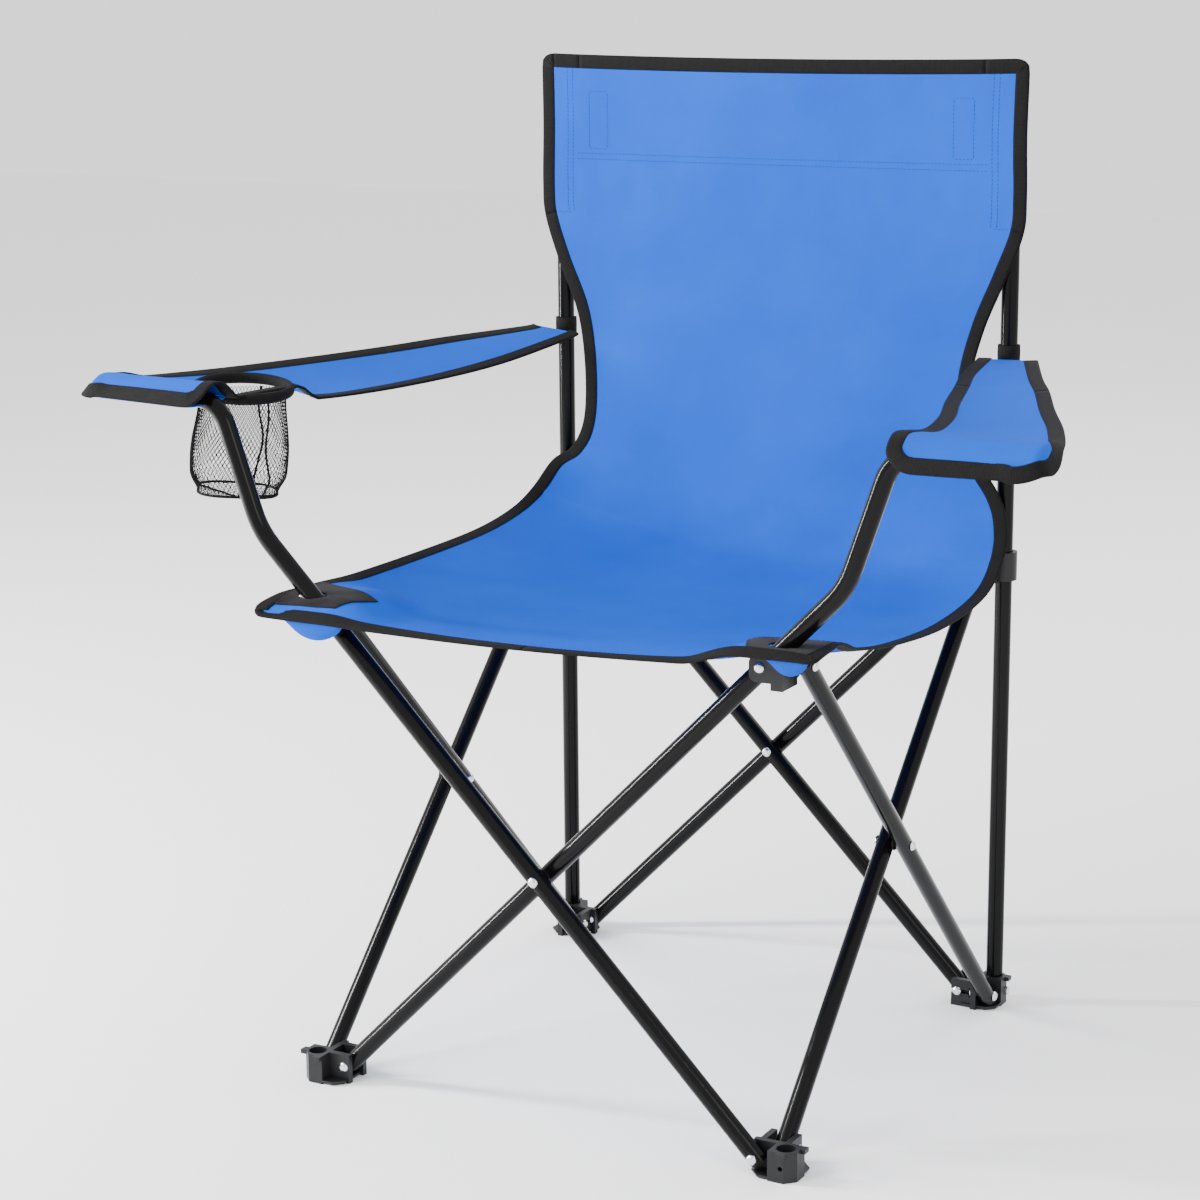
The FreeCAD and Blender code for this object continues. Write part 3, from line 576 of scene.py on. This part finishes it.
seam_meshes = {"back": [], "sleeve_left": [], "sleeve_right": []}
hem = np.linspace(-SLEEVE_SHARE, SLEEVE_SHARE, 60)
for place in (1.46, 1.56):
    seam("back", np.full(60, place), hem)
for side, part in ((-1, "sleeve_left"), (1, "sleeve_right")):
    down = np.linspace(0.12, 2.95, 60)
    for share in (SLEEVE_SHARE + 0.012, SLEEVE_SHARE + 0.035):
        seam(part, down, np.full(60, side * share))
    outer = np.linspace(SLEEVE_SHARE + 0.02, 0.96, 8) * side
    seam(part, np.full(8, 2.9), outer)
    # a stitched box beside the sleeve, where the top hem is folded
    box_rows, box_in, box_out = (0.55, 1.38), side * 0.72, side * 0.80
    for place in box_rows:
        seam("back", np.full(8, place), np.linspace(box_in, box_out, 8))
    for share in (box_in, box_out):
        seam("back", np.linspace(*box_rows, 20), np.full(20, share))
seams = {part: joined(f"{part}_seams", meshes, BLUE_THREAD) for part, meshes in seam_meshes.items()}

# The hem's fold: a second layer of cloth over the top of the back.
hem_fold = sheet_piece("back_hem_layer", sling,
                       lambda i, j: quad_station[i] < 1.62 and quad_station[i] > 0.15
                       and abs(quad_across[j]) < SLEEVE_SHARE, BLUE, 0.7 * MM, lift=-1.0 * MM)

# Sleeves: the layer behind each upright, closed at the top.
sleeve_backs = {}
for side, part in ((-1, "sleeve_left"), (1, "sleeve_right")):
    low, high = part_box("upright_left" if side < 0 else "upright_right")
    axis_y = (low[1] + high[1]) / 2
    kept = np.where(station <= SLEEVE_ROW)[0]
    columns_in = np.where(side * across >= SLEEVE_SHARE - 0.001)[0]
    edge_in = sling[np.ix_(kept, columns_in)][:, 0 if side > 0 else -1]
    edge_out = sling[np.ix_(kept, columns_in)][:, -1 if side > 0 else 0]
    t = np.linspace(0, 1, 15)
    bulge = np.sin(math.pi * t) ** 0.55
    behind = axis_y + 9.2 * MM
    closing = ease(station[kept], 0.0, 0.32)[:, None]
    layer = edge_in[:, None] * (1 - t[None, :, None]) + edge_out[:, None] * t[None, :, None]
    layer[:, :, 1] += (behind - layer[:, :, 1]) * bulge[None, :] * closing + 1.2 * MM
    if side > 0:
        layer = layer[:, ::-1]
    sleeve_backs[part] = sheet_piece(f"{part}_back_layer", layer, lambda i, j: True, BLUE)

# ---------------------------------------------------------------- seat corners
patches, flaps, patch_threads = {}, {}, {}
for side, part in ((-1, "seat_left"), (1, "seat_right")):
    place_rows, place_columns = 26, 34
    t = np.linspace(0, 1, place_rows)[:, None]
    s = np.linspace(0, 1, place_columns)[None, :]
    # the patch's corners: station and share across
    outer_rear, inner_rear = (14.5, 0.985), (14.75, 0.70)
    inner_front, outer_front = (15.45, 0.745), (15.6, 0.955)
    places = ((1 - t) * ((1 - s) * outer_rear[0] + s * inner_rear[0])
              + t * ((1 - s) * outer_front[0] + s * inner_front[0]))
    shares = ((1 - t) * ((1 - s) * outer_rear[1] + s * inner_rear[1])
              + t * ((1 - s) * outer_front[1] + s * inner_front[1]))
    points, _ = on_grid(sling, row_of(places), column_of(side * shares), 0.0)
    if side > 0:
        points = points[:, ::-1]
    spread_points, inside = cut_hole(points, tube_holes[side], 11.6 * MM, 8.4 * MM, 1.9)
    patches[part] = sheet_piece(f"{part}_patch", points, lambda i, j: not inside[i, j], PATCH,
                                0.9 * MM, lift=1.1 * MM, moved=spread_points)
    facing = grid_normals(points)
    ring = [(i, 1) for i in range(1, place_rows - 1)]
    ring += [(place_rows - 2, j) for j in range(2, place_columns - 1)]
    ring += [(i, place_columns - 2) for i in range(place_rows - 3, 0, -1)]
    ring += [(1, j) for j in range(place_columns - 3, 1, -1)]
    line = np.array([points[i, j] + facing[i, j] * 1.7 * MM for i, j in ring])
    patch_threads[part] = joined(f"{part}_patch_stitches", stitch_row(
        line, np.array([facing[i, j] for i, j in ring]), 2.2 * MM, 3.4 * MM), BLACK_THREAD)
    # tongue of the pocket under the corner
    low, high = (0.68, 0.90) if side < 0 else (0.84, 0.985)
    top_us = side * np.linspace(low, high, 17)
    edge, facing = on_grid(sling, np.full(17, rows - 2.2), column_of(top_us), -1.9 * MM)
    drop = np.linspace(0, 1, 7)[:, None, None]
    hang = np.sin(np.linspace(0, math.pi, 17)) ** 0.6 * (15 if side < 0 else 12) * MM
    tongue = np.repeat(edge[None], 7, axis=0)
    tongue[:, :, 2] -= (drop[:, :, 0] * hang[None, :])
    tongue[:, :, 1] += 6 * MM * drop[:, :, 0] ** 1.5
    if side < 0:
        tongue = tongue[:, ::-1]
    flaps[part] = sheet_piece(f"{part}_under_flap", tongue, lambda i, j: True, BLUE, 0.8 * MM)

# ---------------------------------------------------------------- armrests
# Inner edge (x, y, z) and outer edge (x, y, z) in millimetres from the upright to the front, with
# x counted outwards on both sides.
ARM_RIGHT = [
    (188, 208, 561, 238, 208, 562),
    (191, 196, 561, 243, 196, 562),
    (209, 120, 561, 276, 118, 562),
    (228, 60, 561, 303, 60, 562),
    (253, -20, 562, 337, -20, 562),
    (277, -90, 563, 369, -90, 562),
    (289, -145, 563, 391, -145, 563),
    (287, -174, 566, 400, -173, 566),
    (285, -189, 567, 404, -189, 567),
    (286, -201, 564, 404, -201, 564),
    (287, -210, 556, 403, -210, 557),
    (289, -215, 545, 400, -215, 546),
]
ARM_LEFT = [
    (193, 208, 560, 238, 208, 565),
    (196, 196, 557, 243, 196, 564),
    (213, 122, 546, 276, 118, 562),
    (231, 60, 540, 303, 60, 559),
    (249, -20, 538, 337, -20, 557),
    (268, -90, 539, 369, -90, 556),
    (279, -150, 546, 394, -150, 558),
    (283, -184, 560, 401, -184, 564),
    (285, -204, 566, 404, -204, 567),
    (286, -215, 563, 404, -216, 564),
    (287, -222, 557, 403, -223, 559),
    (289, -226, 550, 401, -227, 553),
]
ARM_SPLIT = 3                           # station where an armrest's halves meet
ARM_STEPS, ARM_COLUMNS = 9, 40

cup_low, cup_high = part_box("cup_ring")
cup_centre = ((cup_low[0] + cup_high[0]) / 2 + 5 * MM, (cup_low[1] + cup_high[1]) / 2 + 4 * MM)
CUP_RING_Z = 551.5 * MM                 # middle of the ring's rim
LOOP_Z, LOOP_RADIUS = 566 * MM, 8.6 * MM


def arm_grid(stations, side, corner_radii):
    last = len(stations) - 1
    place = np.linspace(0, last, last * ARM_STEPS + 1)
    values = through(stations, place) * MM
    inner, outer = values[:, None, 0:3], values[:, None, 3:6]
    t = np.linspace(0, 1, ARM_COLUMNS + 1)[None, :, None]
    grid = inner + (outer - inner) * t
    dip = np.exp(-((place - 4.6) / 1.9) ** 2) * 3.5 * MM
    grid[:, :, 2] -= dip[:, None] * 4 * t[:, :, 0] * (1 - t[:, :, 0])
    ripple = np.sin(t[:, :, 0] * 15 + place[:, None] * 1.7) * np.exp(-((place[:, None] - 7.0) / 0.7) ** 2)
    grid[:, :, 2] += 0.35 * MM * ripple
    near_tube = np.exp(-((place - 8.6) / 1.6) ** 2)[:, None]
    grid[:, :, 2] -= 15 * MM * near_tube * np.clip((t[:, :, 0] - 0.92) / 0.08, 0, 1) ** 1.5
    # the round front corners
    to_front = lengths(values[:, 3:6])[-1] - lengths(values[:, 3:6])
    for share, radius in zip((0, 1), corner_radii):
        inset = radius - np.sqrt(np.maximum(radius**2 - np.maximum(radius - to_front, 0) ** 2, 0))
        weight = (1 - t[:, :, 0]) ** 2 if share == 0 else t[:, :, 0] ** 2
        grid[:, :, 0] += inset[:, None] * weight * (1 if share == 0 else -1)
    grid[:, :, 0] *= side
    if side < 0:
        grid = grid[:, ::-1]
        # flat round the cup's ring
        away = np.hypot(grid[:, :, 0] - cup_centre[0], grid[:, :, 1] - cup_centre[1])
        level = (1 - ease(away, 44 * MM, 64 * MM)) * ease(grid[:, :, 1], -0.2, -0.178)
        grid[:, :, 2] += (CUP_RING_Z - grid[:, :, 2]) * level
    return place, grid


arm_pieces = []
for side, name, stations, radii in ((-1, "left", ARM_LEFT, (12 * MM, 9 * MM)),
                                    (1, "right", ARM_RIGHT, (18 * MM, 22 * MM))):
    place, grid = arm_grid(stations, side, radii)
    shifted, inside = grid, np.zeros((len(place) - 1, ARM_COLUMNS), bool)
    if side < 0:
        shifted, inside = cut_hole(grid, cup_centre, 36.5 * MM, 36.5 * MM, 1.12)
    middle_place = (place[:-1] + place[1:]) / 2
    halves = {"rear": lambda i: middle_place[i] < ARM_SPLIT, "front": lambda i: middle_place[i] > ARM_SPLIT}
    normals = grid_normals(grid)
    edge_loop = ([(i, 0) for i in range(len(place))]
                 + [(len(place) - 1, j) for j in range(1, ARM_COLUMNS + 1)]
                 + [(i, ARM_COLUMNS) for i in range(len(place) - 2, -1, -1)])
    edge_points = np.array([grid[i, j] for i, j in edge_loop])
    edge_normals = smoothed(np.array([normals[i, j] for i, j in edge_loop]), 3)
    edge_inward, edge_up = edge_frame(edge_points, edge_normals)
    edge_place = np.array([place[i] for i, _ in edge_loop])
    for half, wanted in halves.items():
        cloth = sheet_piece(f"armrest_{name}_{half}_cloth", grid,
                            lambda i, j: wanted(i) and not inside[i, j], BLUE, moved=shifted)
        in_half = edge_place <= ARM_SPLIT + 1e-6 if half == "rear" else edge_place >= ARM_SPLIT - 1e-6
        runs = np.split(np.where(in_half)[0], np.where(np.diff(np.where(in_half)[0]) > 1)[0] + 1)
        tape_parts, thread_parts = [], []
        for run in runs:
            tape_parts.append(sweep(edge_points[run], edge_inward[run], edge_up[run], tape_section(),
                                    start=0.01 * run[0]))
            for face in (1, -1):
                line = (edge_points[run] + edge_inward[run] * (TAPE_WIDE - 2.4 * MM)
                        + edge_up[run] * face * 1.2 * MM)
                thread_parts += stitch_row(line, edge_up[run] * face, 2.4 * MM, 3.6 * MM)
        tape = joined(f"armrest_{name}_{half}_tape", tape_parts, TAPE)
        thread = joined(f"armrest_{name}_{half}_stitches", thread_parts, BLACK_THREAD)
        arm_pieces.append((name, half, cloth, tape, thread))
    if half == "front":
        # the sleeve's lower layer, sewn on behind the tube and at the front edge
        front_rows = np.where(place >= 6.9)[0]
        top = grid[front_rows]
        share = (place[front_rows] - place[front_rows[0]]) / (place[-1] - place[front_rows[0]])
        under = top.copy()
        tube_drop = np.sin(math.pi * share) ** 0.6 * (17 if side < 0 else 21) * MM
        under[:, :, 2] -= (tube_drop + 1.4 * MM)[:, None]
        lowest = top[-1:, :, 2] + (-1.5 if side < 0 else 2.0) * MM
        under[:, :, 2] = np.maximum(under[:, :, 2], np.minimum(lowest, top[:, :, 2] - 1.4 * MM))
        trimmed = under[:, 3:-3]
        under_layer = sheet_piece(f"armrest_{name}_sleeve_underside", trimmed, lambda i, j: True,
                                  BLUE, 0.9 * MM)
        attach(under_layer, "front_left_arm" if side < 0 else "front_right_arm")
        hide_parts(f"arm_sleeve_{name}")

    # webbing loop round the upright
    low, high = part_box(f"upright_{name}")
    axis = np.array([(low[0] + high[0]) / 2, (low[1] + high[1]) / 2, LOOP_Z])
    angles = np.linspace(0, 2 * math.pi, 41)
    ring = axis + np.stack([np.cos(angles), np.sin(angles), 0 * angles], 1) * LOOP_RADIUS
    outwards = np.stack([np.cos(angles), np.sin(angles), 0 * angles], 1)
    upwards = np.tile([0.0, 0.0, 1.0], (41, 1))
    section = [(-0.7 * MM, -7 * MM), (0.7 * MM, -7 * MM), (0.9 * MM, 0), (0.7 * MM, 7 * MM),
               (-0.7 * MM, 7 * MM), (-0.9 * MM, 0)]
    loop_piece = joined(f"armrest_{name}_loop", [sweep(ring, outwards, upwards, section)], TAPE)
    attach(loop_piece, "root" if side < 0 else "right_post")
    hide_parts(f"arm_loop_{name}")

# ---------------------------------------------------------------- cup holder
ring_radius, rim_radius = 38.2 * MM, 4.6 * MM
angles = np.linspace(0, 2 * math.pi, 97)
outwards = np.stack([np.cos(angles), np.sin(angles), 0 * angles], 1)
centre = np.array([*cup_centre, CUP_RING_Z])
tilt = np.stack([0 * angles, 0 * angles, -3.4 * MM * np.cos(angles + 0.5)], 1)
rim_line = centre + outwards * ring_radius + tilt
ring_section = [(rim_radius * math.cos(a) * 0.78, rim_radius * math.sin(a))
                for a in np.linspace(0, 2 * math.pi, 13)[:-1]]
rim_ups = np.tile([0.0, 0.0, 1.0], (97, 1))
cup_ring = joined("cup_ring_taped",
                  [sweep(rim_line, outwards, rim_ups, ring_section, closed_ends=False)], TAPE)
ring_threads = joined("cup_ring_stitches", stitch_row(
    rim_line + np.array([0, 0, rim_radius + 0.05 * MM]) - outwards * 1.5 * MM,
    rim_ups, 2.2 * MM, 3.4 * MM), BLACK_THREAD)

POUCH_DEEP = 80 * MM


def pouch(angle, depth):
    """The net's surface: a soft bag with four corners near the bottom; depth runs from 0 to 1."""
    radius = (35.0 + 6.0 * ease(depth, 0.05, 0.7) - 7.0 * ease(depth, 0.8, 1.0)) * MM
    radius = radius * (1 + 0.07 * np.cos(4 * angle + 0.6) * ease(depth, 0.2, 1.0)
                       + 0.03 * np.sin(3 * angle) * depth)
    fall = -POUCH_DEEP * depth - 3.0 * MM * np.cos(angle - 0.5) * depth
    lean = -7 * MM * depth
    return np.stack([centre[0] + lean + radius * np.cos(angle), centre[1] + lean / 2 + radius * np.sin(angle),
                     centre[2] - 3 * MM + fall], axis=-1)


def yarn(points, radius, sides=4):
    """A thin tube along a polyline."""
    tangents = unit(np.gradient(points, axis=0))
    aside = unit(np.cross(tangents, [0.31, 0.17, 0.94]))
    section = [(radius * math.cos(a), radius * math.sin(a))
               for a in np.linspace(0, 2 * math.pi, sides + 1)[:-1]]
    return sweep(points, aside, np.cross(tangents, aside), section)


strands = []
STRANDS, TURN = 74, 1.15
for k in range(STRANDS):
    for way in (1, -1):
        depth = np.linspace(0, 1, 26)
        angle = 2 * math.pi * k / STRANDS + way * TURN * depth
        strands.append(yarn(pouch(angle, depth), 0.28 * MM, 3))
floor_angles = np.linspace(0, 2 * math.pi, 61)
floor_edge = pouch(floor_angles, np.ones(61))
floor_middle = floor_edge.mean(axis=0) - np.array([0, 0, 6 * MM])
floor_radius = np.linalg.norm(floor_edge - floor_middle, axis=1).mean()
for k in range(-8, 9):
    for heading in (0.5, 0.5 + math.pi / 2):
        offset = k * floor_radius / 8.6
        reach = math.sqrt(max(floor_radius**2 - offset**2, 0))
        t = np.linspace(-reach, reach, 15)
        flat = np.stack([t * math.cos(heading) - offset * math.sin(heading),
                         t * math.sin(heading) + offset * math.cos(heading)], 1)
        share = np.linalg.norm(flat, axis=1) / floor_radius
        turn = np.arctan2(flat[:, 1], flat[:, 0])
        rim = pouch(turn, np.ones(len(turn)))
        strands.append(yarn(floor_middle + (rim - floor_middle) * share[:, None], 0.28 * MM, 3))
net = joined("cup_net_mesh", strands, NET)
seams_of_net = []
depth = np.linspace(0, 1, 30)
for angle in (-0.35, 1.75, 3.9):
    seams_of_net.append(yarn(pouch(np.full(30, angle) + 0.05 * np.sin(depth * 9), depth), 1.0 * MM, 6))
seams_of_net.append(yarn(floor_edge, 1.1 * MM, 6))
for heading in (0.2, 1.9):
    t = np.linspace(-1, 1, 25)
    turn = np.where(t < 0, heading + math.pi, heading)
    rim = pouch(turn, np.ones(25))
    seams_of_net.append(yarn(floor_middle + (rim - floor_middle) * np.abs(t)[:, None], 0.9 * MM, 6))
net_seams = joined("cup_net_seams", seams_of_net, NET)

# ---------------------------------------------------------------- rides
SLEEVE_BODY = {"sleeve_left": "root", "sleeve_right": "right_post"}


def finish_piece(thing, body, squash_axis=None):
    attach(thing, body)
    if squash_axis:
        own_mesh(thing)


for part, cloth in sling_pieces.items():
    extra = [tapes[part]] + [group[part] for group in (threads, seams, patch_threads) if part in group]
    if part == "back":
        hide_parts("back_panel")
        for thing, slot_name in [(cloth, "blue_fabric"), (hem_fold, "blue_fabric")]:
            finish_piece(thing, "root", (1, 0, 0))
        for thing in extra:
            finish_piece(thing, "root", (1, 0, 0))
    elif part in SLEEVE_BODY:
        side_name = part.split("_")[1]
        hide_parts(f"back_{part}")
        for thing in (cloth, sleeve_backs[part]):
            finish_piece(thing, SLEEVE_BODY[part])
        for thing in extra:
            finish_piece(thing, SLEEVE_BODY[part])
    else:
        side_name = part.split("_")[1]
        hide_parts(part)
        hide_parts(f"seat_patch_{side_name}")
        for thing in (cloth, flaps[part]):
            finish_piece(thing, part, (0, 1, 0))
        for thing in [patches[part]] + extra:
            finish_piece(thing, part, (0, 1, 0))

for name, half, cloth, tape, thread in arm_pieces:
    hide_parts(f"armrest_{half}_{name}")
    with_pieces = [tape, thread]
    if (name, half) == ("left", "front"):
        with_pieces += [cup_ring, ring_threads, net, net_seams]
    flat, cut = ((0.065, 0.152), 0.0085) if half == "rear" else ((0.12, 0.30), 0.0275)
    for thing, slot_name in ((cloth, "blue_fabric"), (tape, "black_binding"), (thread, "black_binding")):
        if half == "front":
            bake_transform(thing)
        else:
            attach(thing, f"armrest_rear_{name}")

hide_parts("cup_ring")
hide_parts("cup_net")
for thing, slot_name in ((cup_ring, "black_binding"), (ring_threads, "black_binding"), (net, "cup_net"),
                         (net_seams, "cup_net")):
    finish_piece(thing, "armrest_front_left")

# ---------------------------------------------------------------- camera, floor and light


def camera_frame(azimuth, elevation, roll):
    """Right, up and back directions of a camera that looks at the chair's front from its right."""
    a, e, r = (math.radians(v) for v in (azimuth, elevation, roll))
    back = Vector((math.sin(a) * math.cos(e), -math.cos(a) * math.cos(e), math.sin(e)))
    right = Vector((math.cos(a), math.sin(a), 0))
    above = back.cross(right)
    return (math.cos(r) * right + math.sin(r) * above, math.cos(r) * above - math.sin(r) * right, back)


# The photo's view: lens in millimetres, azimuth, elevation and roll in degrees, place in metres.
CAMERA_LENS, CAMERA_TURNS = 87.51, (29.08, 12.91, -0.48)
CAMERA_PLACE = (1.0760, -2.0369, 0.9080)
camera_data = bpy.data.cameras.new("camera")
camera_data.sensor_width = 36
camera_data.lens = CAMERA_LENS
camera = bpy.data.objects.new("camera", camera_data)
right, above, back = camera_frame(*CAMERA_TURNS)
camera.matrix_world = Matrix.Translation(Vector(CAMERA_PLACE)) @ Matrix(
    (right, above, back)).transposed().to_4x4()
bpy.context.scene.collection.objects.link(camera)
bpy.context.scene.camera = camera


def area_light(name, place, aim, wide, high, power):
    light = bpy.data.lights.new(name, "AREA")
    light.shape, light.size, light.size_y, light.energy = "RECTANGLE", wide, high, power
    thing = bpy.data.objects.new(name, light)
    thing.location = place
    thing.rotation_euler = (Vector(aim) - Vector(place)).to_track_quat("-Z", "Y").to_euler()
    bpy.context.scene.collection.objects.link(thing)


area_light("key", (-1.6, -2.4, 2.6), (0, 0, 0.4), 1.6, 1.6, 90)
area_light("fill", (2.6, -1.6, 1.5), (0, 0, 0.4), 1.0, 1.8, 30)
area_light("strip", (-2.2, -0.9, 1.2), (0, 0, 0.5), 0.12, 2.2, 170)
area_light("behind", (0.8, 2.6, 2.2), (0, 0, 0.5), 1.8, 1.2, 40)

world = bpy.data.worlds.new("studio")
world.use_nodes = True
world.node_tree.nodes["Background"].inputs["Color"].default_value = (1.0, 1.0, 1.0, 1)
world.node_tree.nodes["Background"].inputs["Strength"].default_value = 1.5
bpy.context.scene.world = world

FLOOR_SIDE = 14.0
floor_material, floor_tree, floor_shader = new_material("pale_floor")
speckle = noise(floor_tree, coordinates(floor_tree), 3.0)
floor_tone = mixed(floor_tree, speckle, (0.93, 0.93, 0.93), (0.96, 0.96, 0.96))
link(floor_tree, floor_tone, floor_shader.inputs["Base Color"])
floor_shader.inputs["Roughness"].default_value = 0.9
half = FLOOR_SIDE / 2
floor = mesh_object("floor", [(-half, -half, 0), (half, -half, 0), (half, half, 0), (-half, half, 0)],
                    [(0, 1, 2, 3)], floor_material)
